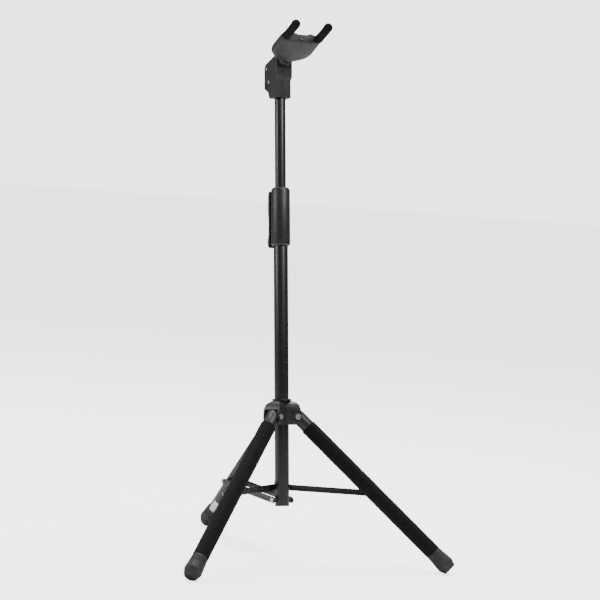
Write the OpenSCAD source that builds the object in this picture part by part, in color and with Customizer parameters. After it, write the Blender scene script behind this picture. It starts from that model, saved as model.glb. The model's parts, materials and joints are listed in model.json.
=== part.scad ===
// Folding tripod stand with a swivelling crescent yoke that holds a guitar by its headstock.
// The mast leans back over a level tripod. All parts are drawn in the mast's own frame, where
// +Z runs up the mast and zero is the height of the leg hinges, and are then leaned and lifted.

/* [Mast] */
// Backward lean of the mast, in degrees
lean = 10.9; // [0:0.1:15]
// Outer diameter of the lower tube
lower_tube_d = 28.6; // [26:0.1:36]
// Wall of the lower tube
lower_tube_wall = 1.5; // [1:0.1:2]
// Length of the lower tube above the leg hinges
lower_tube_up = 360; // [300:1:450]
// Length of the lower tube below the leg hinges
lower_tube_down = 176; // [150:1:215]
// Outer diameter of the upper tube
upper_tube_d = 22; // [18:0.1:23]
// Wall of the upper tube
upper_tube_wall = 1.3; // [1:0.1:2]
// Length of the upper tube that stays inside the lower tube
upper_tube_inside = 300; // [200:1:340]
// Height of the upper tube's top end above the leg hinges
upper_tube_top = 700; // [600:1:840]

/* [Grip] */
// Outer diameter of the grip
grip_d = 38; // [36:0.5:50]
// Length of the grip
grip_len = 117; // [100:1:150]
// Length of lower tube held in the grip's socket
grip_socket = 18; // [12:1:25]
// Width of the squeeze lever
lever_w = 24; // [18:0.5:26]
// Reach of the lever behind the mast's axis
lever_reach = 32; // [30:0.5:40]
// Diameter of the lever's pin
lever_pin_d = 4; // [3:0.1:5]

/* [Hub] */
// Diameter of the upper collar
hub_collar_d = 40; // [38:0.5:48]
// Thickness of hub between its bore and a leg's slot
hub_core = 4.2; // [3:0.1:9]
// Height of the hub above the leg hinges
hub_up = 36; // [30:0.5:45]
// Depth of the hub below the leg hinges
hub_down = 15; // [12:0.5:20]
// Diameter of the hinge rivets
rivet_d = 6; // [4:0.1:7]
// Thickness of each hub ear
ear_t = 4; // [3:0.5:6]

/* [Legs] */
// Angle of the front legs from the mast
front_angle = 44.5; // [38:0.5:50]
// Angle of the rear leg from the mast
rear_angle = 55; // [50:0.5:60]
// Length of a front leg from its hinge to its foot
front_len = 424; // [350:1:510]
// Outer diameter of the leg tubes
leg_d = 26; // [22:0.5:27]
// Wall of the leg tubes
leg_wall = 1.3; // [1:0.1:2]
// Outer diameter of the top fittings
fitting_d = 28; // [27.5:0.5:30]
// Distance from the hinge to the foot of the top fitting
fitting_len = 27; // [24:0.5:34]
// Outer diameter of the foam sleeves
foam_d = 31; // [29:0.5:33]
// Length of foot that shows below a leg
foot_len = 47; // [35:1:60]
// Largest diameter of a foot
foot_d = 35.2; // [32:0.1:36]
// Diameter of a foot's end face
foot_end_d = 25.2; // [20:0.1:30]
// Height worn flat on each foot, where it meets the floor
foot_flat = 0.8; // [0.4:0.1:1.5]

/* [Struts] */
// Distance from the hinge to the strut pin along a front leg
front_pin_at = 213; // [180:1:240]
// Distance from the hinge to the strut pin along the rear leg
rear_pin_at = 218; // [190:1:240]
// Height of the front struts' pivots below the leg hinges
front_pivot_down = 138; // [120:1:145]
// Height of the rear strut's pivots below the leg hinges
rear_pivot_down = 164; // [155:1:170]
// Width of the struts
strut_w = 12; // [10:0.5:13]
// Thickness of the struts
strut_t = 3; // [2:0.1:4]
// Diameter of the strut pins
strut_pin_d = 5; // [4:0.1:6]
// Gap between the front struts and the rear strut's fork
fork_gap = 0.4; // [0.3:0.1:1]

/* [Head] */
// Width of the head housing
head_w = 34.6; // [30:0.1:42]
// Height of the housing's foot above the leg hinges
head_foot = 641; // [560:1:760]
// Height of the housing
head_h = 86; // [80:1:100]
// Reach of the housing behind the mast's axis
head_back = 33.5; // [30:0.5:40]
// Wall of the housing
head_wall = 2.4; // [2:0.1:3]

/* [Yoke] */
// Upward tilt of the arms from square to the mast
arm_tilt = 23; // [15:0.5:30]
// Distance between the arms' centre lines
arm_gap = 73; // [66:0.5:84]
// Diameter of the arms' foam sleeves
arm_d = 18; // [15:0.5:20]
// Length of arm that stands out of the yoke
arm_len = 52; // [40:1:65]
// Diameter of the arms' steel cores
arm_core_d = 8; // [6:0.1:10]
// Diameter of the yoke's pivot shaft
shaft_d = 10; // [8:0.1:12]

/* [Fits] */
// Radial clearance of a running fit
run_gap = 0.06; // [0.02:0.01:0.1]
// Gap between parts that move past each other
move_gap = 0.5; // [0.4:0.1:0.8]

/* [Hidden] */
$fn = 96;
soft_fn = 28;

// Turn of each leg about the mast: +X is right and -Y is the front.
right_turn = -30;
left_turn = 210;
rear_turn = 90;

// Each leg turns on a hinge pin, as far from the mast's axis as the hub's core and slot need.
lower_r = lower_tube_d / 2;
slot_half = fitting_d / 2 + move_gap;
hinge_r = lower_r + hub_core + slot_half;

// A leg's fall for each millimetre of its length, once the mast leans.
function leg_fall(turn, angle) = cos(angle) * cos(lean) + sin(turn) * sin(angle) * sin(lean);
// How far a foot's end rim hangs below its centre.
function rim_drop(fall) = foot_end_d / 2 * sqrt(1 - fall * fall);
front_fall = leg_fall(right_turn, front_angle);
rear_fall = leg_fall(rear_turn, rear_angle);
hinge_height = front_len * front_fall + rim_drop(front_fall) - foot_flat
    + hinge_r * sin(right_turn) * sin(lean);
rear_len = (hinge_height - hinge_r * sin(lean) + foot_flat - rim_drop(rear_fall)) / rear_fall;

// The origin is under the middle of the tripod, so the feet's reach forwards and back sets it.
function foot_y(turn, angle, len) = (hinge_r + len * sin(angle)) * sin(turn) * cos(lean)
    - len * cos(angle) * sin(lean);
// Place of a foot's widest ring along its leg, and how far that ring reaches along Y.
foot_wide_at = 12;
function run_y(turn, angle) = sin(angle) * sin(turn) * cos(lean) - cos(angle) * sin(lean);
function ring_y(turn, angle) = foot_d / 2 * sqrt(1 - pow(run_y(turn, angle), 2));
front_reach = foot_y(right_turn, front_angle, front_len - foot_wide_at)
    - ring_y(right_turn, front_angle);
rear_reach = foot_y(rear_turn, rear_angle, rear_len - foot_wide_at)
    + ring_y(rear_turn, rear_angle);
mast_y = -(front_reach + rear_reach) / 2;

upper_r = upper_tube_d / 2;
lower_bore_r = lower_r - lower_tube_wall;
upper_foot = lower_tube_up - upper_tube_inside;
grip_foot = lower_tube_up - grip_socket;
chamber_top = grip_foot + grip_len - 18;
lever_nose_r = lever_pin_d / 2 + 1.5;
lever_stem_w = lever_w * 2 / 3;
lever_pivot_y = upper_r + move_gap + lever_nose_r;
lever_pivot_z = chamber_top - lever_nose_r - move_gap;
lever_slot_y = lower_r + 1;
lock_plate_z = lower_tube_up + 22;
lock_plate_t = 3;
rivet_head_h = 1.6;
collar_z = hub_up - 4;
saddle_t = 1.3;
bracket_r = max(lower_r + saddle_t, foam_d / 2 + 0.1);
strut_side = bracket_r + 0.4;
fork_half = strut_side + strut_t + fork_gap;
rivet_clear = 0.3;
head_gap = 0.4;
boss_pin_r = strut_pin_d / 2 + 2.5;
rear_seat = 4;
strut_head_r = strut_pin_d / 2 + 2.5;
foot_socket = 30;
spigot_len = 25;
spigot_r = leg_d / 2 - leg_wall;

// The yoke's frame: its origin is on the pivot axis at the face of the housing's boss.
yoke_y = -27;
yoke_z = head_foot + 79;
boss_r = 14;
yoke_front = 70;
arm_root = 24;
pad_t = 4;
yoke_bar_r = 8.7;
yoke_screw_r = 2.1;
screw_len = 14;
arm_r = arm_d / 2;
core_r = arm_core_d / 2;

module lean_back() {
    translate([0, mast_y, hinge_height]) rotate([-lean, 0, 0]) children();
}

// Stands a leg's parts along -Z from its hinge, turned and spread.
module on_leg(turn, angle) {
    lean_back() rotate([0, 0, turn]) translate([hinge_r, 0, 0]) rotate([0, -angle, 0]) children();
}

// The yoke's own frame: +Z runs out along the arms.
module on_yoke() {
    lean_back() translate([0, yoke_y, yoke_z]) rotate([90 - arm_tilt, 0, 0]) children();
}

module pipe(outer_r, inner_r, low, high) {
    translate([0, 0, low]) difference() {
        cylinder(r = outer_r, h = high - low);
        translate([0, 0, -1]) cylinder(r = inner_r, h = high - low + 2);
    }
}

// A rod along Y through the origin, from one offset to another.
module rod_y(radius, from, to) {
    translate([0, to, 0]) rotate([90, 0, 0]) cylinder(r = radius, h = to - from);
}

// A rivet along Y: a shank with a flat dome head at one or both ends and a hollow mouth.
module rivet(radius, from, to, head_r, both = true) {
    difference() {
        union() {
            rod_y(radius, from, to);
            rod_y(head_r, to, to + rivet_head_h);
            if (both) rod_y(head_r, from - rivet_head_h, from);
        }
        rod_y(radius * 0.55, to - 1, to + rivet_head_h + 1);
        if (both) rod_y(radius * 0.55, from - rivet_head_h - 1, from + 1);
    }
}

module lower_tube() {
    color("#242423") lean_back() pipe(lower_r, lower_bore_r, -lower_tube_down, lower_tube_up);
}

module tube_plug() {
    color("#1b1b1b") lean_back() translate([0, 0, -lower_tube_down]) union() {
        translate([0, 0, 2]) cylinder(r = lower_bore_r, h = 12);
        cylinder(r = lower_bore_r - 1, h = 2);
    }
}

// Slot for the lever: wide behind the paddle, and narrow where its stem reaches in to the pin.
module lever_slot() {
    wide = lever_w / 2 + move_gap;
    narrow = lever_stem_w / 2 + move_gap;
    cheek = lever_pivot_z - 8;
    translate([-wide, lever_slot_y, grip_foot - 1]) cube([2 * wide, grip_d, cheek - grip_foot + 1]);
    translate([-narrow, upper_r + move_gap / 2, cheek - 6])
        cube([2 * narrow, grip_d, chamber_top - cheek + 6]);
}

module clutch_body() {
    corner = 3;
    top = grip_foot + grip_len;
    color("#2b2b2a") lean_back() difference() {
        rotate_extrude() difference() {
            polygon([[0, grip_foot], [grip_d / 2 - corner, grip_foot], [grip_d / 2, grip_foot + corner],
                [grip_d / 2, top - corner - 3], [grip_d / 2 - 1, top - corner],
                [grip_d / 2 - corner, top], [0, top]]);
            translate([0, grip_foot - 1]) square([lower_r, grip_socket + 1]);
            translate([0, lower_tube_up - 1]) square([upper_r + run_gap, grip_len]);
            translate([0, lower_tube_up + 12]) square([lower_r, chamber_top - lower_tube_up - 12]);
        }
        lever_slot();
        translate([0, lever_pivot_y, lever_pivot_z]) rotate([0, 90, 0])
            cylinder(r = lever_pin_d / 2, h = grip_d + 2, center = true);
    }
}

// Guide ring between the two tubes, at the top of the lower one.
module clutch_bush() {
    color("#3a3a3a") lean_back() pipe(lower_bore_r, upper_r + run_gap, lower_tube_up - 20,
        lower_tube_up - 1);
}

// Squeeze lever: a narrow stem that turns on the pin, and a wide paddle down the grip's back.
module clutch_lever() {
    low = grip_foot - 2;
    high = grip_foot + grip_len - 4;
    inner = lever_reach - 8;
    color("#303030") lean_back() difference() {
        union() {
            translate([-lever_stem_w / 2, 0, 0]) rotate([90, 0, 90]) linear_extrude(lever_stem_w) {
                translate([lever_pivot_y, lever_pivot_z]) circle(r = lever_nose_r);
                polygon([[lever_pivot_y, lever_pivot_z + lever_nose_r], [inner + 2, lever_pivot_z + 3],
                    [inner + 2, lever_pivot_z - 20], [inner, lever_pivot_z - 20],
                    [lever_pivot_y - 1, lever_pivot_z - lever_nose_r + 0.2]]);
            }
            translate([-lever_w / 2, 0, 0]) rotate([90, 0, 90]) linear_extrude(lever_w) polygon([
                [inner, high - 2], [inner + 2.5, high], [lever_reach - 1.5, high - 7],
                [lever_reach - 0.6, lever_pivot_z - 20], [lever_reach - 3, lever_pivot_z - 46],
                [lever_reach - 2.4, low + 28], [lever_reach + 1.5, low + 11], [lever_reach, low + 4],
                [lever_reach - 4.5, low], [lever_reach - 6, low + 2], [inner + 1, low + 24],
                [inner, low + 34]]);
        }
        translate([0, lever_pivot_y, lever_pivot_z]) rotate([0, 90, 0])
            cylinder(r = lever_pin_d / 2 + run_gap, h = grip_d, center = true);
    }
}

module lever_pin() {
    half = sqrt(pow(grip_d / 2, 2) - pow(lever_pivot_y + lever_pin_d / 2, 2));
    color("#a0a0a0") lean_back() translate([0, lever_pivot_y, lever_pivot_z]) rotate([0, 90, 0])
        cylinder(r = lever_pin_d / 2, h = 2 * half, center = true);
}

// Leaf spring inside the grip that pushes the lever out.
module lever_spring() {
    leaf = 0.8;
    foot = lock_plate_z + 24;
    color("#b4b4b4") lean_back() translate([-4, 0, 0]) rotate([90, 0, 90]) linear_extrude(8)
        polygon([[lever_slot_y, foot], [lever_slot_y + leaf, foot],
            [lever_slot_y + 3 + leaf, foot + 16], [lever_slot_y + 3, foot + 16]]);
}

// Tilting plate that bites on the upper tube until the lever frees it.
module lock_plate() {
    color("#8f8f8f") lean_back() pipe(lower_r, upper_r + run_gap, lock_plate_z,
        lock_plate_z + lock_plate_t);
}

// Saddle behind the tube's foot that carries the front struts, with a boss each side for the rear.
module spreader_bracket() {
    saddle_h = 24;
    boss_end = fork_half - move_gap;
    color("#2c2c2b") lean_back() union() {
        difference() {
            intersection() {
                pipe(bracket_r, lower_r, -front_pivot_down - saddle_h / 2, -front_pivot_down + saddle_h / 2);
                translate([0, lower_r * 1.25 + 5, -front_pivot_down])
                    cube([bracket_r * 1.8, bracket_r * 2, saddle_h], center = true);
            }
            for (strut = [[right_turn, 1], [left_turn, -1]]) rotate([0, 0, strut[0]])
                translate([0, 0, -front_pivot_down]) to_side(strut[1])
                    rod_y(strut_pin_d / 2, lower_r - 1, bracket_r + 1);
        }
        for (side = [-1, 1]) translate([0, 0, -rear_pivot_down]) difference() {
            rotate([0, side * 90, 0]) cylinder(r = boss_pin_r, h = boss_end);
            translate([0, 0, -10]) cylinder(r = lower_r, h = 20);
            rotate([0, side * 90, 0]) translate([0, 0, boss_end - rear_seat])
                cylinder(r = strut_pin_d / 2, h = rear_seat + 1);
        }
    }
}

module upper_tube() {
    color("#232322") lean_back() pipe(upper_r, upper_r - upper_tube_wall, upper_foot, upper_tube_top);
}

module upper_bush() {
    color("#3a3a3a") lean_back() pipe(lower_bore_r - run_gap, upper_r, upper_foot, upper_foot + 30);
}

// Side outline of the head housing, as Y against Z.
module head_outline() {
    top = head_foot + head_h;
    polygon([[-13.2, head_foot], [13.2, head_foot], [19, head_foot + 14], [head_back, head_foot + 23],
        [head_back, top - 21], [head_back - 4, top - 14], [-13.4, top], [-19.5, top - 4],
        [-19.5, head_foot + 42], [-13.2, head_foot + 35]]);
}

// One half of the clamshell housing, with its wall, slots and screw hole.
module head_shell(side) {
    seam = 0.1;
    inner = head_w / 2 - head_wall;
    tube_gap = 0.02;
    top = head_foot + head_h;
    translate([side > 0 ? seam : -head_w / 2, 0, 0]) difference() {
        rotate([90, 0, 90]) linear_extrude(head_w / 2 - seam) head_outline();
        translate([side > 0 ? -seam - 1 : head_w / 2 - inner, 16, head_foot + 26])
            cube([inner + 1, head_back - 16 - head_wall, head_h - 54]);
        translate([side > 0 ? -seam : head_w / 2, 0, head_foot - 1])
            cylinder(r = upper_r + tube_gap, h = upper_tube_top - head_foot + 1.5);
        for (slot = [[24.5, head_foot + 28, 2.2, 11, 0], [-8, top - 14, 3, 7, 35]])
            translate([side > 0 ? head_w / 2 - 1.2 : -1, slot[0], slot[1]]) rotate([slot[4], 0, 0])
                translate([0, -slot[2] / 2, -slot[3] / 2]) cube([2.2, slot[2], slot[3]]);
        translate([side > 0 ? -seam : head_w / 2, yoke_y, yoke_z]) rotate([90 - arm_tilt, 0, 0])
            translate([0, 0, -30]) cylinder(r = shaft_d / 2, h = 60);
        translate([0, 14.5, head_foot + 34]) rotate([0, 90, 0])
            cylinder(r = 2, h = head_w * 2, center = true);
        translate([0, 24, head_foot + 62]) rotate([0, 90, 0])
            cylinder(r = 1.5, h = head_w * 2, center = true);
    }
}

// Half of the round boss that carries the yoke's pivot.
module head_boss(side) {
    translate([0, yoke_y, yoke_z]) rotate([90 - arm_tilt, 0, 0]) intersection() {
        difference() {
            translate([0, 0, -12]) cylinder(r = boss_r, h = 12);
            translate([0, 0, -13]) cylinder(r = shaft_d / 2, h = 14);
        }
        translate([side > 0 ? 0.1 : -boss_r - 1, -boss_r - 1, -20]) cube([boss_r + 0.9, 2 * boss_r + 2, 30]);
    }
}

module head_half(side) {
    lean_back() difference() {
        union() {
            head_shell(side);
            head_boss(side);
        }
        translate([0, 0, head_foot - 1]) cylinder(r = upper_r + 0.02, h = upper_tube_top - head_foot + 1.5);
    }
}

module head_shell_left() {
    color("#4b4b4a") head_half(-1);
}

module head_shell_right() {
    color("#4b4b4a") head_half(1);
}

// Two screws that draw the housing's halves together.
module head_screws() {
    color("#c9c9c6") lean_back() for (screw = [[14.5, 34, 2, 4], [24, 62, 1.5, 2.4]])
        translate([0, screw[0], head_foot + screw[1]]) rotate([0, 90, 0]) union() {
            cylinder(r = screw[2], h = head_w, center = true);
            for (end = [-1, 1]) translate([0, 0, end * (head_w / 2 + 0.8)])
                cylinder(r = screw[3], h = 1.6, center = true);
        }
}

module yoke_shaft() {
    color("#a8a8a8") on_yoke() translate([0, 0, -12]) cylinder(r = shaft_d / 2, h = 40);
}

// Cradle that widens from the pivot to a straight front carrying the two arms.
module yoke_body() {
    color("#3e3e3d") on_yoke() difference() {
        hull() {
            translate([0, -1, move_gap]) cylinder(r = 15, h = 4, $fn = soft_fn);
            translate([0, -4, 30]) sphere(r = 17, $fn = soft_fn);
            for (side = [-1, 1]) {
                translate([side * 33, 1, 27]) sphere(r = 11, $fn = soft_fn);
                translate([side * arm_gap / 2, 1, yoke_front - pad_t - 8])
                    cylinder(r = yoke_bar_r, h = 8, $fn = soft_fn);
            }
        }
        translate([0, 0, -1]) cylinder(r = shaft_d / 2 + run_gap, h = 29.6);
        for (side = [-1, 1]) translate([side * arm_gap / 2, 0, yoke_front - arm_root])
            cylinder(r = core_r, h = arm_root + 1);
        translate([0, 0, yoke_front - screw_len]) cylinder(r = yoke_screw_r, h = screw_len);
    }
}

// Rubber front of the yoke, hollowed a little between the arms where the neck rests.
module yoke_pad() {
    hollow = 2.4;
    hollow_half = arm_gap / 2 - 12;
    hollow_r = (pow(hollow_half, 2) + pow(hollow, 2)) / (2 * hollow);
    color("#181818") on_yoke() translate([0, 1, yoke_front - pad_t]) difference() {
        union() {
            for (side = [-1, 1]) translate([side * arm_gap / 2, 0, 0])
                cylinder(r = yoke_bar_r, h = pad_t);
            translate([-arm_gap / 2, -yoke_bar_r, 0]) cube([arm_gap, 2 * yoke_bar_r, pad_t]);
            for (side = [-1, 1]) translate([side * (arm_gap / 2 - 19), yoke_bar_r - 1, 0])
                cube([9, 3, pad_t]);
        }
        translate([0, 0, pad_t - hollow + hollow_r]) rotate([90, 0, 0])
            cylinder(r = hollow_r, h = 40, center = true);
        for (side = [-1, 1]) translate([side * arm_gap / 2, -1, -1])
            cylinder(r = core_r, h = pad_t + 2);
        translate([0, -1, -1]) cylinder(r = yoke_screw_r, h = pad_t + 2);
    }
}

module yoke_screw() {
    color("#2a2a2a") on_yoke() translate([0, 0, yoke_front - screw_len]) union() {
        cylinder(r = yoke_screw_r, h = screw_len - 2.3);
        translate([0, 0, screw_len - 2.3]) cylinder(r = 2 * yoke_screw_r, h = 1.6);
    }
}

module arm_core(side) {
    color("#6e6e6e") on_yoke() translate([side * arm_gap / 2, 0, yoke_front - arm_root])
        cylinder(r = core_r, h = arm_root + arm_len - 5);
}

module arm_core_left() {
    arm_core(-1);
}

module arm_core_right() {
    arm_core(1);
}

// Foam sleeve with a round end, closed over the steel core.
module arm_sleeve(side) {
    base = 0.3;
    color("#1d1d1c") on_yoke() translate([side * arm_gap / 2, 0, yoke_front]) rotate_extrude()
        difference() {
            union() {
                translate([0, base]) square([arm_r, arm_len - arm_r - base]);
                intersection() {
                    translate([0, arm_len - arm_r]) circle(r = arm_r);
                    translate([0, arm_len - arm_r]) square([arm_r, arm_r]);
                }
            }
            square([core_r, arm_len - 5]);
        }
}

module arm_sleeve_left() {
    arm_sleeve(-1);
}

module arm_sleeve_right() {
    arm_sleeve(1);
}

// One leg's lobe of the hub, a domed block about the hinge, before its slot and ends are cut.
module hub_lobe() {
    half = slot_half + ear_t;
    top = collar_z;
    intersection() {
        translate([0, half, 0]) rotate([90, 0, 0]) linear_extrude(2 * half) polygon([
            [0, -hub_down - 1], [hinge_r - 5.75, -hub_down - 1], [hinge_r + 3, -hub_down + 4],
            [hinge_r + 7, -hub_down + 10], [hinge_r + 8, 0], [hinge_r + 6, top - 20],
            [hinge_r + 2.5, top - 9], [hinge_r - 3, top - 3.5], [hinge_r - 16, top + 1], [0, top + 1]]);
        rotate([90, 0, 90]) linear_extrude(hinge_r + 10) polygon([
            [-half, -hub_down - 1], [half, -hub_down - 1], [half, top - 15], [half - 3, top - 7],
            [half - 8, top - 2], [half - 14, top + 1], [14 - half, top + 1], [8 - half, top - 2],
            [3 - half, top - 7], [-half, top - 15]]);
    }
}

// Room for a leg's top fitting, from where the leg stands to where it hangs.
module leg_slot(angle) {
    translate([hinge_r, 0, 0]) {
        rod_y(slot_half + 0.3, -slot_half, slot_half);
        translate([-slot_half, -slot_half, -hub_down - 1]) cube([60, 2 * slot_half, hub_down + 1]);
        rotate([0, -angle, 0]) translate([-slot_half, -slot_half, -60])
            cube([2 * slot_half, 2 * slot_half, 60]);
    }
}

module hub_body() {
    color("#2f2f2e") lean_back() difference() {
        intersection() {
            union() for (turn = [right_turn, left_turn, rear_turn]) rotate([0, 0, turn]) hub_lobe();
            translate([0, 0, -hub_down]) cylinder(r = 2 * hinge_r, h = hub_down + collar_z);
        }
        translate([0, 0, -hub_down - 1]) cylinder(r = lower_r + run_gap, h = 100);
        for (leg = [[right_turn, front_angle], [left_turn, front_angle], [rear_turn, rear_angle]])
            rotate([0, 0, leg[0]]) {
                leg_slot(leg[1]);
                translate([hinge_r, 0, 0]) rod_y(rivet_d / 2, -40, 40);
            }
    }
}

// Flanged collar on top of the hub, pressed to lift the hub when folding.
module hub_collar() {
    rim = 2.4;
    neck = 1.5;
    high = hub_up - collar_z;
    color("#2f2f2e") lean_back() difference() {
        translate([0, 0, collar_z]) rotate_extrude() polygon([[0, 0], [hub_collar_d / 2 - neck, 0],
            [hub_collar_d / 2 - neck, high - rim], [hub_collar_d / 2, high - rim],
            [hub_collar_d / 2, high - 0.6], [hub_collar_d / 2 - 0.6, high], [0, high]]);
        translate([0, 0, collar_z - 1]) cylinder(r = lower_r + run_gap, h = 20);
    }
}

module hub_rivet(turn) {
    reach = slot_half + ear_t;
    color("#d0d0cc") lean_back() rotate([0, 0, turn]) translate([hinge_r, 0, 0])
        rivet(rivet_d / 2, -reach, reach, 5.4);
}

module hub_rivet_left() {
    hub_rivet(left_turn);
}

module hub_rivet_right() {
    hub_rivet(right_turn);
}

module hub_rivet_rear() {
    hub_rivet(rear_turn);
}

// Plastic fitting on top of a leg tube, with a round end that turns in the hub's slot.
module leg_fitting(turn, angle) {
    end_r = fitting_d / 2 - 0.2;
    color("#2d2d2c") on_leg(turn, angle) difference() {
        union() {
            translate([0, 0, -fitting_len]) cylinder(r = fitting_d / 2, h = fitting_len);
            intersection() {
                translate([0, 0, -1]) cylinder(r = fitting_d / 2, h = fitting_d);
                rod_y(end_r, -fitting_d, fitting_d);
            }
            translate([0, 0, -fitting_len - spigot_len]) cylinder(r = spigot_r, h = spigot_len + 1);
        }
        rod_y(rivet_d / 2 + run_gap, -fitting_d, fitting_d);
    }
}

module leg_fitting_left() {
    leg_fitting(left_turn, front_angle);
}

module leg_fitting_right() {
    leg_fitting(right_turn, front_angle);
}

module leg_fitting_rear() {
    leg_fitting(rear_turn, rear_angle);
}

module leg_tube(turn, angle, len) {
    color("#2a2a29") on_leg(turn, angle)
        pipe(leg_d / 2, leg_d / 2 - leg_wall, -len + foot_len - foot_socket, -fitting_len);
}

module leg_tube_left() {
    leg_tube(left_turn, front_angle, front_len);
}

module leg_tube_right() {
    leg_tube(right_turn, front_angle, front_len);
}

module leg_tube_rear() {
    leg_tube(rear_turn, rear_angle, rear_len);
}

module foam(turn) {
    color("#1e1e1c") on_leg(turn, front_angle)
        pipe(foam_d / 2, leg_d / 2, -front_len + foot_len, -fitting_len);
}

module foam_left() {
    foam(left_turn);
}

module foam_right() {
    foam(right_turn);
}

// Rubber foot: a double cone whose end rim is worn flat where it meets the floor.
module foot(turn, angle, len) {
    neck_r = foot_d / 2 - 2.4;
    color("#2b2d2e") difference() {
        on_leg(turn, angle) translate([0, 0, -len]) difference() {
            rotate_extrude() polygon([[0, 0], [foot_end_d / 2, 0], [foot_d / 2, foot_wide_at],
                [foot_d / 2, foot_wide_at + 3], [neck_r, foot_len], [0, foot_len]]);
            translate([0, 0, foot_len - foot_socket]) cylinder(r = leg_d / 2, h = foot_socket + 1);
        }
        translate([-700, -700, -60]) cube([1400, 1400, 60]);
    }
}

module foot_left() {
    foot(left_turn, front_angle, front_len);
}

module foot_right() {
    foot(right_turn, front_angle, front_len);
}

module foot_rear() {
    foot(rear_turn, rear_angle, rear_len);
}

// Blank label wrapped round the rear leg above its foot.
module leg_label() {
    label_h = 32;
    label_t = 0.3;
    low = -rear_len + foot_len + 0.5;
    color("#c8ccd0") on_leg(rear_turn, rear_angle) translate([0, 0, low]) rotate([0, 0, 92])
        rotate_extrude(angle = 60) translate([leg_d / 2, 0]) square([label_t, label_h]);
}

// Turns a part drawn on the +Y side about the leg onto the chosen side.
module to_side(side) {
    rotate([0, 0, side > 0 ? 0 : 180]) children();
}

// Two bosses on the rear leg that fill the fork's width.
module leg_spacers() {
    color("#474746") on_leg(rear_turn, rear_angle) translate([0, 0, -rear_pin_at])
        for (side = [-1, 1]) to_side(side) difference() {
            rod_y(boss_pin_r, leg_d / 2 - 2, fork_half - move_gap);
            translate([0, 0, -10]) cylinder(r = leg_d / 2, h = 20);
        }
}

// The rivet at a front strut's outer end, which stops just clear of the foam.
module front_strut_pin(turn, side) {
    color("#cfcfcb") on_leg(turn, front_angle) translate([0, 0, -front_pin_at]) to_side(side)
        rivet(strut_pin_d / 2, foam_d / 2 + rivet_clear, strut_side + strut_t, strut_head_r, false);
}

module strut_pin_left() {
    front_strut_pin(left_turn, -1);
}

module strut_pin_right() {
    front_strut_pin(right_turn, 1);
}

module strut_pin_rear() {
    color("#cfcfcb") on_leg(rear_turn, rear_angle) translate([0, 0, -rear_pin_at])
        for (side = [-1, 1]) to_side(side)
            rivet(strut_pin_d / 2, fork_half - 0.1, fork_half + strut_t, strut_head_r, false);
}

// A strut's run, from its pin on the leg to its pivot on the mast, in the mast's upright plane.
function pin_r(angle, pin_at) = hinge_r + pin_at * sin(angle);
function pin_z(angle, pin_at) = -pin_at * cos(angle);

// Flat bar in the leg's upright plane between two eyes, as thick as strut_t from Y = 0.
module strut_bar(angle, pin_at, pivot_down) {
    run = pin_r(angle, pin_at);
    rise = pin_z(angle, pin_at) + pivot_down;
    span = norm([run, rise]);
    translate([0, 0, -pivot_down]) rotate([0, -atan2(rise, run), 0]) difference() {
        union() {
            rod_y(strut_w / 2, 0, strut_t);
            translate([span, 0, 0]) rod_y(strut_w / 2, 0, strut_t);
            translate([0, 0, -strut_w / 2]) cube([span, strut_t, strut_w]);
        }
        rod_y(strut_pin_d / 2 + run_gap, -1, strut_t + 1);
        translate([span, 0, 0]) rod_y(strut_pin_d / 2, -1, strut_t + 1);
    }
}

module front_strut(turn, side) {
    color("#262625") lean_back() rotate([0, 0, turn])
        translate([0, side > 0 ? strut_side : -strut_side - strut_t, 0])
            strut_bar(front_angle, front_pin_at, front_pivot_down);
}

module strut_left() {
    front_strut(left_turn, -1);
}

module strut_right() {
    front_strut(right_turn, 1);
}

// Rear strut: two bars either side of the mast and leg, joined by a web at mid length.
module strut_rear() {
    run = pin_r(rear_angle, rear_pin_at);
    rise = pin_z(rear_angle, rear_pin_at) + rear_pivot_down;
    span = norm([run, rise]);
    web_t = 2.5;
    color("#474746") lean_back() rotate([0, 0, rear_turn]) union() {
        translate([0, fork_half, 0]) strut_bar(rear_angle, rear_pin_at, rear_pivot_down);
        translate([0, -fork_half - strut_t, 0])
            strut_bar(rear_angle, rear_pin_at, rear_pivot_down);
        translate([0, 0, -rear_pivot_down]) rotate([0, -atan2(rise, run), 0])
            translate([span * 0.42, -fork_half - 0.5, -web_t / 2])
                cube([span * 0.2, 2 * fork_half + 1, web_t]);
    }
}

// Rivet fixed in the saddle, on which a front strut's inner end turns.
module front_strut_rivet(turn, side) {
    color("#d0d0cc") lean_back() rotate([0, 0, turn]) translate([0, 0, -front_pivot_down]) to_side(side)
        rivet(strut_pin_d / 2, lower_r + rivet_clear, strut_side + strut_t + head_gap, strut_head_r, false);
}

module strut_rivet_left() {
    front_strut_rivet(left_turn, -1);
}

module strut_rivet_right() {
    front_strut_rivet(right_turn, 1);
}

module strut_rivet_rear() {
    seat = fork_half - move_gap - rear_seat;
    color("#d0d0cc") lean_back() translate([0, 0, -rear_pivot_down]) rotate([0, 0, rear_turn])
        for (side = [-1, 1]) to_side(side)
            rivet(strut_pin_d / 2, seat, fork_half + strut_t + head_gap, strut_head_r, false);
}

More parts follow.
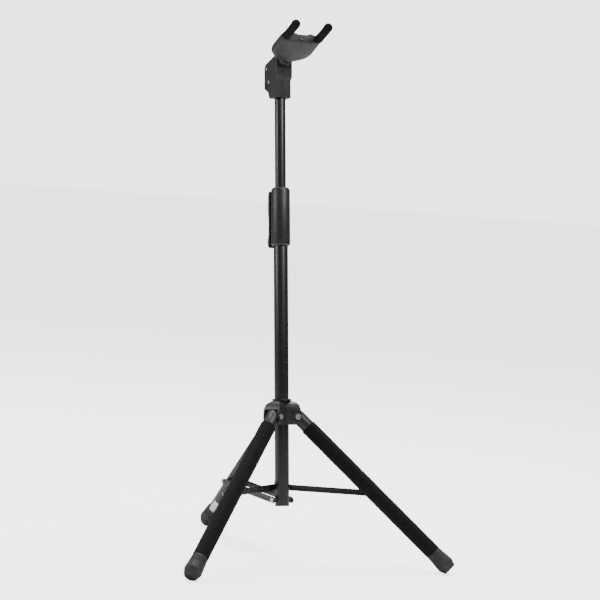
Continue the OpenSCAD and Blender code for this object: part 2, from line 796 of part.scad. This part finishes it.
lower_tube();
tube_plug();
clutch_body();
clutch_bush();
clutch_lever();
lever_pin();
lever_spring();
lock_plate();
spreader_bracket();
upper_tube();
upper_bush();
head_shell_left();
head_shell_right();
head_screws();
yoke_shaft();
yoke_body();
yoke_pad();
yoke_screw();
arm_core_left();
arm_core_right();
arm_sleeve_left();
arm_sleeve_right();
hub_body();
hub_collar();
hub_rivet_left();
hub_rivet_right();
hub_rivet_rear();
leg_fitting_left();
leg_fitting_right();
leg_fitting_rear();
leg_tube_left();
leg_tube_right();
leg_tube_rear();
foam_left();
foam_right();
foot_left();
foot_right();
foot_rear();
leg_label();
leg_spacers();
strut_pin_left();
strut_pin_right();
strut_pin_rear();
strut_left();
strut_right();
strut_rear();
strut_rivet_left();
strut_rivet_right();
strut_rivet_rear();
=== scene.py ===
# %% [markdown]
# # A folding guitar stand
# The stand is a steel mast on three legs, with a padded yoke that takes the guitar by its
# headstock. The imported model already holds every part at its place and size, so this lesson keeps
# those places and makes each part look like the moulded, painted or foamed thing that it is.
#
# Parts whose shape is right are copied, welded and given the small rounded edges that real tools
# leave. Soft and moulded shapes, such as foam, rubber feet and the yoke, are modelled from new.

import json
import math

import bpy
from mathutils import Matrix, Vector


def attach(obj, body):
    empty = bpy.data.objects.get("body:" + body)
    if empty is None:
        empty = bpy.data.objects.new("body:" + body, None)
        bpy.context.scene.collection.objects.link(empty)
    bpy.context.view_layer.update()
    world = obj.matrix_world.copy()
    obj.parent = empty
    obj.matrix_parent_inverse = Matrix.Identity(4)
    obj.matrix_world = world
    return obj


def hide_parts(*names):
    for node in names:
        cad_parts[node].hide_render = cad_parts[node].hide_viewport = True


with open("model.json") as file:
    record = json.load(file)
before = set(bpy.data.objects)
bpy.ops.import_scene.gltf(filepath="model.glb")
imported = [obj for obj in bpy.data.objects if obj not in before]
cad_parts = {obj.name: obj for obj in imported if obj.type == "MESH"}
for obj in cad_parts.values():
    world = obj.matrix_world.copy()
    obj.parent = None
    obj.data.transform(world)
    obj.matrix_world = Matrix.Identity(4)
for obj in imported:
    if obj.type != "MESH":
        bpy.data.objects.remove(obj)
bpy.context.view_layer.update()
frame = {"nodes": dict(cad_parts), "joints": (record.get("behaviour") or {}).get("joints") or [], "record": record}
joints = {joint["name"]: joint for joint in frame["joints"]}
MM = 0.001
print("parts in the frame:", len(frame["nodes"]))

# %% [markdown]
# ## Where things are
# Every piece is modelled upright in millimetres at the world's centre, because round work is
# easiest there. A matrix then stands it in its place. The joints give the places: a leg's centre
# line runs from its hinge to the middle of its tube, and the yoke's swivel gives the direction of
# the arms.


# %% Axes of the legs and yoke
def stand_on(origin, up, side):
    """A matrix that puts millimetre work at origin, its Z along up and its X nearest to side."""
    z_axis = Vector(up).normalized()
    y_axis = z_axis.cross(Vector(side)).normalized()
    x_axis = y_axis.cross(z_axis)
    turn = Matrix((x_axis, y_axis, z_axis)).transposed().to_4x4()
    return Matrix.Translation(Vector(origin)) @ turn @ Matrix.Scale(MM, 4)


RIGHT = Vector((1, 0, 0))
LEGS = ("left", "right", "rear")


def leg_frame(leg):
    """A leg's own frame: zero at its hinge, Z down the leg and X across it."""
    hinge = Vector(joints[f"leg_{leg}_fold"]["pos_m"])
    tube = frame["nodes"][f"leg_tube_{leg}"].data.vertices
    middle = sum((vertex.co for vertex in tube), Vector()) / len(tube)
    return stand_on(hinge, middle - hinge, joints[f"leg_{leg}_fold"]["axis"])


YOKE = stand_on(joints["yoke_swivel"]["pos_m"], joints["yoke_swivel"]["axis"], RIGHT)


def reach(node, place, axis):
    """Lowest and highest value of a CAD node along one axis of a frame, in millimetres."""
    back = place.inverted()
    values = [(back @ vertex.co)[axis] for vertex in frame["nodes"][node].data.vertices]
    return min(values), max(values)


# %% [markdown]
# ## Colour and material helpers
# Colours are written as the hex values that a paint chart gives. The renderer works in linear
# light, so one function turns them. One more function adds a node to a material, with its settings
# and links.


# %% Helpers for materials
def hex_colour(code):
    """Linear RGBA from an sRGB hex value."""
    parts = [int(code[i : i + 2], 16) / 255 for i in (1, 3, 5)]
    return [p / 12.92 if p <= 0.04045 else ((p + 0.055) / 1.055) ** 2.4 for p in parts] + [1.0]


def node(tree, kind, settings=None, links=None):
    """Adds a node; settings are attributes or sockets, and links map sockets to outputs."""
    made = tree.nodes.new(kind)
    for key, value in (settings or {}).items():
        if hasattr(made, key):
            setattr(made, key, value)
        else:
            made.inputs[key].default_value = value
    for key, output in (links or {}).items():
        tree.links.new(output, made.inputs[key])
    return made


def start_material(name, roughness, metallic=0.0, ior=1.5):
    """A material with its shader's constants set on the shader itself."""
    material = bpy.data.materials.new(name)
    material.use_nodes = True
    tree = material.node_tree
    shader = tree.nodes["Principled BSDF"]
    shader.inputs["Roughness"].default_value = roughness
    shader.inputs["Metallic"].default_value = metallic
    if metallic < 0.5:
        shader.inputs["IOR"].default_value = ior
    place = node(tree, "ShaderNodeTexCoord").outputs["Object"]
    return material, tree, shader, place


def per_feature(size_mm):
    """Texture scale whose features are about this many millimetres across, in a metre world."""
    return 1 / (size_mm * MM)


def noise(tree, place, size_mm, detail):
    """Cloudy noise whose features are about this many millimetres across."""
    return node(tree, "ShaderNodeTexNoise", {"Scale": per_feature(size_mm), "Detail": detail},
                {"Vector": place})


def two_tone(tree, shader, place, dark, light, size_mm, low=0.35, high=0.65):
    """Slow drift between two close shades, as dye and handling give."""
    cloud = noise(tree, place, size_mm, detail=3.0)
    ramp = node(tree, "ShaderNodeValToRGB", None, {"Fac": cloud.outputs["Fac"]})
    ramp.color_ramp.elements[0].position = low
    ramp.color_ramp.elements[0].color = hex_colour(dark)
    ramp.color_ramp.elements[1].position = high
    ramp.color_ramp.elements[1].color = hex_colour(light)
    tree.links.new(ramp.outputs["Color"], shader.inputs["Base Color"])


def rough_drift(tree, shader, place, low, high, size_mm):
    """Roughness that wanders between two values, as rubbed and untouched paint do."""
    cloud = noise(tree, place, size_mm, detail=2.0)
    span = node(tree, "ShaderNodeMapRange",
                {"From Min": 0.3, "From Max": 0.7, "To Min": low, "To Max": high},
                {"Value": cloud.outputs["Fac"]})
    tree.links.new(span.outputs["Result"], shader.inputs["Roughness"])


def relief(tree, shader, height, depth_mm, strength):
    """Bump of a given real depth."""
    bump = node(tree, "ShaderNodeBump", {"Strength": strength, "Distance": depth_mm * MM},
                {"Height": height})
    tree.links.new(bump.outputs["Normal"], shader.inputs["Normal"])


# %% [markdown]
# ## Powder-coated steel
# The tubes and struts are steel with a baked powder coat. The powder melts into a satin skin with a
# faint orange peel, a few millimetres across, and hands rub it smoother in patches. The peel is
# what makes a long straight highlight waver, so it is the detail worth having.


# %% Powder coat on the tubes and struts
PEEL_MM = 2.2
TINT_PATCH_MM = 45
GLOSS_PATCH_MM = 30


def powder_coat(name, dark, light, low, high):
    """Satin baked paint: close blacks, wandering gloss and a shallow orange peel."""
    material, tree, shader, place = start_material(name, (low + high) / 2)
    two_tone(tree, shader, place, dark, light, TINT_PATCH_MM)
    rough_drift(tree, shader, place, low, high, GLOSS_PATCH_MM)
    peel = noise(tree, place, PEEL_MM, detail=1.5)
    relief(tree, shader, peel.outputs["Fac"], depth_mm=0.03, strength=0.25)
    return material


tube_paint = powder_coat("satin_powder_coat", "#0c0c0b", "#121211", 0.34, 0.44)
# The struts' copy of the coat is painted lighter than the tubes': its raised shade is painted reflected light, and
# its slow drift is the coat's own random tone.
strut_paint_with_painted_reflection = powder_coat("strut_powder_coat_painted_reflection", "#141413", "#1d1d1c", 0.4, 0.52)

# %% [markdown]
# ## Glass-filled nylon
# The hub, grip, head and yoke are moulded in black nylon with glass fibre in it. The mould is spark
# eroded, so the skin has a fine even grit that breaks up reflections. Real grit is about 0.1 mm. It
# is drawn at 1.2 mm, because anything finer would not show at the distance the stand is seen from.


# %% Moulded nylon
GRIT_MM = 1.2


def moulded_nylon(name, dark, light, low, high):
    """Spark-textured black plastic."""
    material, tree, shader, place = start_material(name, (low + high) / 2, ior=1.53)
    two_tone(tree, shader, place, dark, light, size_mm=18)
    rough_drift(tree, shader, place, low, high, size_mm=12)
    grit = noise(tree, place, GRIT_MM, detail=2.0)
    relief(tree, shader, grit.outputs["Fac"], depth_mm=0.06, strength=0.4)
    return material


hub_nylon = moulded_nylon("spark_textured_nylon", "#121211", "#191918", 0.42, 0.52)
head_nylon = moulded_nylon("head_nylon", "#151514", "#1c1c1b", 0.46, 0.56)
yoke_nylon = moulded_nylon("yoke_nylon", "#131312", "#1a1a19", 0.46, 0.56)

# %% [markdown]
# ## Foam and rubber
# The leg sleeves and the arms wear closed-cell foam, whose skin is a field of tiny burst bubbles.
# It throws back almost no highlight, so it reads as the blackest thing on the stand. A cell pattern
# gives the bubbles, drawn at 1.8 mm where the real ones are about 0.5 mm, so that they still show.


# %% Closed-cell foam
def closed_cell_foam(name, dark, light, cell_mm):
    """Matt foam with a skin of small open cells."""
    material, tree, shader, place = start_material(name, 0.93, ior=1.45)
    two_tone(tree, shader, place, dark, light, size_mm=9)
    shader.inputs["Specular IOR Level"].default_value = 0.25
    cells = node(tree, "ShaderNodeTexVoronoi", {"Scale": per_feature(cell_mm)}, {"Vector": place})
    pores = node(tree, "ShaderNodeMapRange", {"From Min": 0.0, "From Max": 0.5},
                 {"Value": cells.outputs["Distance"]})
    relief(tree, shader, pores.outputs["Result"], depth_mm=0.25, strength=0.7)
    return material


leg_foam = closed_cell_foam("closed_cell_foam", "#0d0d0d", "#141414", 1.8)
arm_foam = closed_cell_foam("arm_foam", "#0c0c0b", "#131312", 1.3)


# %% Moulded rubber
GRAIN_MM = 1.6


def moulded_rubber(name, dark, light):
    """Dull rubber with a trace of bloom."""
    material, tree, shader, place = start_material(name, 0.7, ior=1.52)
    two_tone(tree, shader, place, dark, light, size_mm=14, low=0.3, high=0.75)
    rough_drift(tree, shader, place, low=0.62, high=0.8, size_mm=9)
    grain = noise(tree, place, GRAIN_MM, detail=3.0)
    relief(tree, shader, grain.outputs["Fac"], depth_mm=0.1, strength=0.5)
    return material


foot_rubber = moulded_rubber("moulded_rubber", "#1b1d1e", "#262829")
pad_rubber = moulded_rubber("pad_rubber", "#080808", "#0e0e0e")

# %% [markdown]
# ## Bright steel
# The rivets and screws are zinc plated. Zinc goes on as a thin bright skin over drawn steel, so
# there is a soft brushed look and some dulling. The label on the rear leg is plain satin foil.


# %% Zinc plate, blackened steel and foil
LAY_MM = 0.8


def plated_steel(name, dark, light, low, high, size_mm):
    """Plated metal with dulled patches."""
    material, tree, shader, place = start_material(name, (low + high) / 2, metallic=1.0)
    two_tone(tree, shader, place, dark, light, size_mm)
    rough_drift(tree, shader, place, low, high, size_mm / 2)
    lay = noise(tree, place, LAY_MM, detail=2.0)
    relief(tree, shader, lay.outputs["Fac"], depth_mm=0.02, strength=0.4)
    return material


zinc = plated_steel("zinc_plated_steel", "#b9bab8", "#dcdcd8", 0.22, 0.38, 6)
black_oxide = plated_steel("black_oxide_steel", "#3a3a3a", "#4a4a4a", 0.35, 0.5, 5)
foil = plated_steel("satin_foil", "#c3c7cb", "#d3d6d9", 0.38, 0.5, 8)

# %% [markdown]
# ## Bench tools
# New shapes start as a primitive at the world's centre and are shaped in edit mode. Nothing may
# stay selected from earlier work, because an operator acts on all that is selected.


# %% Selection and placing
def deselect():
    """Clears the selection."""
    bpy.ops.object.select_all(action="DESELECT")


def pick(piece):
    """Selects one object and makes it the active one."""
    deselect()
    piece.select_set(True)
    bpy.context.view_layer.objects.active = piece


def apply_modifier(piece, kind, **settings):
    """Adds a modifier, sets it up and applies it."""
    pick(piece)
    modifier = piece.modifiers.new(kind.title(), kind)
    for key, value in settings.items():
        setattr(modifier, key, value)
    bpy.ops.object.modifier_apply(modifier=modifier.name)


def edit_all(piece):
    """Opens a piece in edit mode with all of it selected."""
    pick(piece)
    bpy.ops.object.mode_set(mode="EDIT")
    bpy.ops.mesh.select_all(action="SELECT")


def tidy_mesh(piece, merge_mm=0.001):
    """Merges doubled points and turns every face outwards."""
    edit_all(piece)
    bpy.ops.mesh.remove_doubles(threshold=merge_mm)
    bpy.ops.mesh.normals_make_consistent(inside=False)
    bpy.ops.object.mode_set(mode="OBJECT")


def put(piece, place):
    """Stands finished millimetre work in its place, with the place in its mesh."""
    pick(piece)
    piece.matrix_world = place
    bpy.ops.object.transform_apply(location=True, rotation=True, scale=True)


def finish_piece(piece, body, material, stands_for, smooth=35):
    """Gives a piece its shading, its material, the body it rides on and the parts it stands for."""
    pick(piece)
    bpy.ops.object.shade_smooth_by_angle(angle=math.radians(smooth))
    piece.data.materials.clear()
    piece.data.materials.append(material)
    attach(piece, body)
    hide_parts(*stands_for)
    print(piece.name, "faces:", len(piece.data.polygons))


# %% [markdown]
# ## Round work
# Feet, sleeves and collars are round, so they are made as on a lathe: a ring is added at the first
# radius, then extruded along the axis and resized to each next radius. A hollow piece runs its
# outline round and back to where it began, and merging closes the seam.


# %% The lathe
SEAM_MM = 0.01


def turned(name, outline, sides=64, hollow=False):
    """Revolves an outline of (radius, height) points, in millimetres, by extruding a ring."""
    deselect()
    fill = "NOTHING" if hollow else "NGON"
    radius, height = outline[0]
    bpy.ops.mesh.primitive_circle_add(vertices=sides, radius=radius, fill_type=fill,
                                      location=(0, 0, height))
    piece = bpy.context.object
    piece.name = name
    bpy.ops.object.transform_apply(location=True, rotation=True, scale=True)
    bpy.ops.object.mode_set(mode="EDIT")
    bpy.ops.mesh.select_mode(type="EDGE" if hollow else "FACE")
    bpy.ops.mesh.select_all(action="SELECT")
    extrude = bpy.ops.mesh.extrude_edges_move if hollow else bpy.ops.mesh.extrude_region_move
    for (last_r, last_z), (next_r, next_z) in zip(outline, outline[1:]):
        extrude(TRANSFORM_OT_translate={"value": (0, 0, next_z - last_z)})
        grow = next_r / last_r
        bpy.ops.transform.resize(value=(grow, grow, 1), center_override=(0, 0, next_z))
    bpy.ops.object.mode_set(mode="OBJECT")
    tidy_mesh(piece, SEAM_MM)
    return piece


def arc(centre_r, centre_z, radius, start, end, steps=6):
    """Points on a round corner of an outline, from one angle to another in degrees."""
    angles = [math.radians(start + (end - start) * i / steps) for i in range(steps + 1)]
    return [(centre_r + radius * math.cos(a), centre_z + radius * math.sin(a)) for a in angles]


def evenly(start, end, count):
    """Heights spread evenly between two, both left out."""
    return [start + (end - start) * (i + 1) / (count + 1) for i in range(count)]


# %% [markdown]
# ## Foam on the front legs
# Each front leg wears a long foam sleeve. It is cut from tube stock, so its ends are square with a
# soft lip, and it is never quite round or straight. It is turned hollow, with many rings along its
# length, and a slow displacement then gives the small swells of real foam. Its middle level is
# above a half, so that the swells go mostly inwards.


# %% Leg sleeves
SWELL_MM = 26
LIP_MM = 1.4
MOUTH_MM = 0.6
OUTER_RINGS = 60
INNER_RINGS = 3
swell = bpy.data.textures.new("foam_swell", "CLOUDS")
swell.noise_scale = SWELL_MM


def leg_sleeve(leg):
    """A foam tube over a leg, with rounded lips."""
    name = f"foam_{leg}"
    place = leg_frame(leg)
    low, high = reach(name, place, 2)
    half = reach(name, place, 1)[1]
    bore = reach(f"leg_tube_{leg}", place, 1)[1]
    near, far = low + LIP_MM, high - LIP_MM
    mouth, tail = low + MOUTH_MM, high - MOUTH_MM
    outline = [(bore, mouth)]
    outline += arc(half - LIP_MM, near, LIP_MM, 270, 360)
    outline += [(half, height) for height in evenly(near, far, OUTER_RINGS)]
    outline += arc(half - LIP_MM, far, LIP_MM, 0, 90)
    outline += [(bore, tail)]
    outline += [(bore, height) for height in evenly(tail, mouth, INNER_RINGS)]
    outline += [(bore, mouth)]
    piece = turned(f"sleeve_{leg}", outline, hollow=True)
    apply_modifier(piece, "DISPLACE", texture=swell, strength=0.5, mid_level=0.75)
    put(piece, place)
    finish_piece(piece, f"leg_{leg}", leg_foam, [name])


leg_sleeve("left")
leg_sleeve("right")

# %% [markdown]
# ## Rubber feet
# A foot is a moulded double cone: it swells from a neck at the tube to a waist, and narrows to a
# flat end. Three shallow grooves run round it below the neck, and its end rim is round. The rim is
# worn flat where it meets the floor, so the piece is cut there by a level plane and the cut is
# filled.


# %% Feet
FOOT_END_R = 12.6
WAIST_UP = 12
NECK_IN = 2.4
GROOVES = 3
GROOVE_START = 6
GROOVE_STEP = 4.5
GROOVE_DEPTH = 0.7


def foot_rim(high):
    """The round rim at a foot's end and the shallow hollow inside it."""
    return [(FOOT_END_R + 0.9, high - 1.0), (FOOT_END_R + 0.35, high - 0.3),
            (FOOT_END_R - 0.4, high), (FOOT_END_R - 3, high),
            (FOOT_END_R - 3.6, high - 0.8), (2, high - 0.8)]


def foot(leg):
    """A turned rubber foot, trimmed level with the floor."""
    name = f"foot_{leg}"
    place = leg_frame(leg)
    low, high = reach(name, place, 2)
    wide = reach(name, place, 0)[1]
    bore = reach(f"leg_tube_{leg}", place, 1)[1]
    waist = high - WAIST_UP
    neck_r = wide - NECK_IN
    outline = [(bore, low), (neck_r - 0.8, low), (neck_r, low + 0.8)]
    for ring in range(GROOVES):
        groove = low + GROOVE_START + ring * GROOVE_STEP
        at = neck_r + (wide - neck_r) * (groove - low) / (waist - 3 - low)
        outline += [(at, groove), (at - GROOVE_DEPTH, groove + 0.5),
                    (at - GROOVE_DEPTH, groove + 1.3), (at, groove + 1.8)]
    outline += [(wide - 0.15, waist - 4), (wide, waist - 3)]
    outline += [(wide, waist - 0.4), (wide - 0.4, waist + 0.5)]
    outline += foot_rim(high)
    piece = turned(f"rubber_foot_{leg}", outline, sides=72)
    put(piece, place)
    edit_all(piece)
    bpy.ops.mesh.bisect(plane_co=(0, 0, 0), plane_no=(0, 0, -1), use_fill=True, clear_outer=True)
    bpy.ops.object.mode_set(mode="OBJECT")
    finish_piece(piece, f"leg_{leg}", foot_rubber, [name], smooth=30)


for leg in LEGS:
    foot(leg)

# %% [markdown]
# ## Painted tubes
# Drawn tube has a small rounded lip where it is cut. The mast's two tubes and the legs' tubes keep
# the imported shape, welded and with that lip added, and the lower tube's open end shows its plug.


# %% Copies with real edges
BODIES = frame["record"]["behaviour"]["bodies"]
BODY_OF = {member: body for body, members in BODIES.items() for member in members}
WELD_MM = 0.002
FLAT = math.radians(0.5)
SHARP = math.radians(32)


def softened(node_name, material, edge_mm, segments=2):
    """A welded copy of a CAD part with its sharp edges rounded."""
    source = frame["nodes"][node_name]
    piece = bpy.data.objects.new(f"{node_name}_finished", source.data.copy())
    bpy.context.scene.collection.objects.link(piece)
    edit_all(piece)
    bpy.ops.mesh.remove_doubles(threshold=WELD_MM * MM)
    bpy.ops.mesh.dissolve_limited(angle_limit=FLAT)
    bpy.ops.object.mode_set(mode="OBJECT")
    apply_modifier(piece, "BEVEL", width=edge_mm * MM, segments=segments, limit_method="ANGLE",
                   angle_limit=SHARP, harden_normals=False)
    apply_modifier(piece, "TRIANGULATE")
    finish_piece(piece, BODY_OF[node_name], material, [node_name])


PAINTED = {"lower_tube": 0.5, "upper_tube": 0.4, "leg_tube_rear": 0.4, "spreader_bracket": 0.4,
           "leg_tube_left": 0.4, "leg_tube_right": 0.4}
for part, edge in PAINTED.items():
    softened(part, tube_paint, edge)
# Struts and spacers take the copy of the coat that is painted lighter, as painted reflected light.
for part in ("strut_left", "strut_right", "strut_rear", "leg_spacers"):
    softened(part, strut_paint_with_painted_reflection, edge_mm=0.6)

# %% [markdown]
# ## Moulded parts
# Nylon parts leave the mould with rounded edges all over, because a sharp inside corner in the tool
# would crack them. The hub and its ears, the leg fittings, the grip and the head keep their packed
# shapes with that rounding.

# %% Hub, fittings, grip and head
MOULDED = {"hub_body": 0.9, "hub_collar": 0.4, "leg_fitting_left": 0.7, "leg_fitting_right": 0.7,
           "leg_fitting_rear": 0.7, "clutch_body": 0.7, "clutch_lever": 1.2, "tube_plug": 0.3}
for part, edge in MOULDED.items():
    softened(part, hub_nylon, edge, segments=3)
for part in ("head_shell_left", "head_shell_right"):
    softened(part, head_nylon, edge_mm=0.8, segments=3)

# %% [markdown]
# ## Rivets and screws
# The hinges turn on rivets with rolled heads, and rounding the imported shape's edges gives that
# roll. The screws, rods, spring and plate are the same bright steel with less of an edge.

# %% Bright hardware
for leg in LEGS:
    for part in (f"hub_rivet_{leg}", f"strut_pin_{leg}", f"strut_rivet_{leg}"):
        softened(part, zinc, edge_mm=0.5, segments=3)
softened("head_screws", zinc, edge_mm=0.4, segments=3)
softened("yoke_screw", black_oxide, edge_mm=0.3, segments=3)
for part in ("arm_core_left", "arm_core_right", "lever_pin", "yoke_shaft", "lever_spring",
             "lock_plate"):
    softened(part, zinc, edge_mm=0.2)
for part in ("clutch_bush", "upper_bush"):
    softened(part, hub_nylon, edge_mm=0.3)
softened("leg_label", foil, edge_mm=0.05)

# %% [markdown]
# ## The yoke
# The yoke is one smooth moulding, like the bow of a small boat. It is round at the pivot, widens to
# full shoulders, and ends in a straight front. A cube is cut into a grid, its points are moved on
# to that form in code, and a subdivision surface then makes the skin flow.

# %% Yoke moulding
YOKE_CUTS = 9
PIVOT_HALF = 15
PIVOT_R = 9
PIVOT_UNDER = 7.7
SHOULDER_AT = 0.42
BELLY_SHARE = 0.42
RIM_DOWN = 2.6
CROWN = 1.6
CHIN = 2.5
half_wide = reach("yoke_body", YOKE, 0)[1]
yoke_low, yoke_high = reach("yoke_body", YOKE, 2)
yoke_belly, yoke_top = reach("yoke_body", YOKE, 1)


def yoke_form(u, v, w):
    """A cube's point on the yoke: u across and v through from -1 to 1, w along from 0 to 1."""
    pull = min(w / SHOULDER_AT, 1)
    wide = PIVOT_HALF + (half_wide - PIVOT_HALF) * math.sqrt(1 - (1 - pull) ** 2)
    full = math.sin(math.pi * min(1, 0.25 + w * 0.75))
    belly = BELLY_SHARE * (abs(yoke_belly) - PIVOT_R) * full * (1 - abs(u) ** 2.2)
    bottom = -PIVOT_UNDER - belly
    top = yoke_top - RIM_DOWN + CROWN * (1 - u * u) * math.sin(math.pi * w)
    y = (top + bottom) / 2 + (top - bottom) / 2 * v
    y -= CHIN * max(0, -v) * (1 - pull) * (1 - abs(u))
    z = yoke_low + (yoke_high - yoke_low) * w
    return Vector((wide * u, y, z))


def yoke_moulding():
    """Cuts a cube into a grid, moves it on to the yoke's form and rounds it."""
    deselect()
    bpy.ops.mesh.primitive_cube_add(size=2)
    piece = bpy.context.object
    piece.name = "yoke_moulding"
    bpy.ops.object.mode_set(mode="EDIT")
    bpy.ops.mesh.select_all(action="SELECT")
    bpy.ops.mesh.subdivide(number_cuts=YOKE_CUTS)
    bpy.ops.object.mode_set(mode="OBJECT")
    for vertex in piece.data.vertices:
        u, v, w = vertex.co
        rounder_u = u * (1 - 0.10 * v * v)
        rounder_v = v * (1 - 0.12 * u * u)
        vertex.co = yoke_form(rounder_u, rounder_v, (w + 1) / 2)
    apply_modifier(piece, "SUBSURF", levels=2, render_levels=2)
    tidy_mesh(piece)
    put(piece, YOKE)
    finish_piece(piece, "yoke", yoke_nylon, ["yoke_body"], smooth=60)


yoke_moulding()
softened("yoke_pad", pad_rubber, edge_mm=1.0, segments=3)

# %% [markdown]
# ## Arms
# Each arm is a steel rod in a foam sleeve with a round end. The sleeve is turned, given the slight
# upward bow of the real arm, and pinched a little at its root where it meets the yoke.


# %% Arm sleeves
ARM_RINGS = 9
ARM_RING_STEP = 3.9
ARM_WAIST = 0.35
ARM_BOW = 0.9


def arm_sleeve(side):
    """A round-ended foam sleeve over an arm."""
    name = f"arm_sleeve_{side}"
    low, high = reach(name, YOKE, 2)
    left, right = reach(name, YOKE, 0)
    radius = (right - left) / 2
    centre = (right + left) / 2
    outline = [(radius - 1.6, low), (radius - 0.5, low + 0.4), (radius - 0.2, low + 1.4)]
    for ring in range(ARM_RINGS):
        waist = ARM_WAIST * math.sin(math.pi * ring / ARM_RINGS)
        outline += [(radius - 0.25 - waist, low + 3 + ring * ARM_RING_STEP)]
    outline += arc(0, high - radius, radius, 2, 86, 12)
    piece = turned(f"foam_arm_{side}", outline)
    for vertex in piece.data.vertices:
        along = (vertex.co.z - low) / (high - low)
        vertex.co.x += centre
        vertex.co.y -= ARM_BOW * math.sin(math.pi * along)
    put(piece, YOKE)
    finish_piece(piece, "yoke", arm_foam, [name])


arm_sleeve("left")
arm_sleeve("right")

# %% [markdown]
# ## Floor, light and camera
# Black satin objects are drawn by what they reflect. The wall and floor are bright to look at but
# throw little light of their own, as a distant lit sweep does, and large soft lamps do the rest.
# The camera stands well back with a long lens, at three quarters of the stand's height, and is
# rolled a few degrees, which stands the leaning mast upright in the view.

# %% Floor
FLOOR_GLOW = 2.6
FLOOR_SIZE = 40
FLOOR_GAP = 0.0004
deselect()
bpy.ops.mesh.primitive_plane_add(size=FLOOR_SIZE, location=(0, 0, -FLOOR_GAP))
floor = bpy.context.object
floor.name = "floor"
floor_paint, floor_tree, floor_shader, _ = start_material("pale_floor", 0.9)
floor_shader.inputs["Base Color"].default_value = hex_colour("#f4f4f2")
floor_shader.inputs["Emission Color"].default_value = (1, 1, 1, 1)
floor_rays = node(floor_tree, "ShaderNodeLightPath")
glow = node(floor_tree, "ShaderNodeMapRange", {"To Min": 0.0, "To Max": FLOOR_GLOW},
            {"Value": floor_rays.outputs["Is Camera Ray"]})
floor_tree.links.new(glow.outputs["Result"], floor_shader.inputs["Emission Strength"])
floor.data.materials.append(floor_paint)

# %% Lights
WALL_SEEN = 3.2
WALL_LIGHT = 0.2
LAMP_AIM = Vector((0, 0, 0.55))
world = bpy.data.worlds.new("white_room")
bpy.context.scene.world = world
world.use_nodes = True
room = world.node_tree
background = room.nodes["Background"]
background.inputs["Color"].default_value = (1, 1, 1, 1)
rays = node(room, "ShaderNodeLightPath")
wall = node(room, "ShaderNodeMapRange", {"To Min": WALL_LIGHT, "To Max": WALL_SEEN},
            {"Value": rays.outputs["Is Camera Ray"]})
room.links.new(wall.outputs["Result"], background.inputs["Strength"])


def soft_light(name, azimuth, height, distance, size, power):
    """A large square light that looks at the middle of the stand."""
    angle = math.radians(azimuth)
    data = bpy.data.lights.new(name, "AREA")
    data.size = size
    data.energy = power
    lamp = bpy.data.objects.new(name, data)
    bpy.context.scene.collection.objects.link(lamp)
    lamp.location = (distance * math.sin(angle), -distance * math.cos(angle), height)
    lamp.rotation_euler = (LAMP_AIM - lamp.location).to_track_quat("-Z", "Y").to_euler()


soft_light("key_light", azimuth=25, height=2.6, distance=1.8, size=1.0, power=60)
soft_light("side_light", azimuth=-110, height=1.6, distance=2.4, size=1.0, power=36)
soft_light("top_light", azimuth=160, height=3.2, distance=1.2, size=1.6, power=150)

# %% Camera
SENSOR_MM = 36
LENS_MM = 128.2
CAMERA_AT = Vector((-2.065, -3.703, 0.826))
AIM = Vector((0.0138, -0.0379, 0.5103))
ROLL = math.radians(5.03)
camera_data = bpy.data.cameras.new("camera")
camera_data.sensor_width = SENSOR_MM
camera_data.lens = LENS_MM
camera_data.clip_end = 60
camera = bpy.data.objects.new("camera", camera_data)
bpy.context.scene.collection.objects.link(camera)
look = (AIM - CAMERA_AT).to_track_quat("-Z", "Y").to_matrix().to_4x4()
camera.matrix_world = Matrix.Translation(CAMERA_AT) @ look @ Matrix.Rotation(ROLL, 4, "Z")
bpy.context.scene.camera = camera

# %% [markdown]
# ## Finish
# The finished pieces should fill the imported model's box to within a few tenths of a millimetre.

# %% Update the scene
bpy.context.view_layer.update()
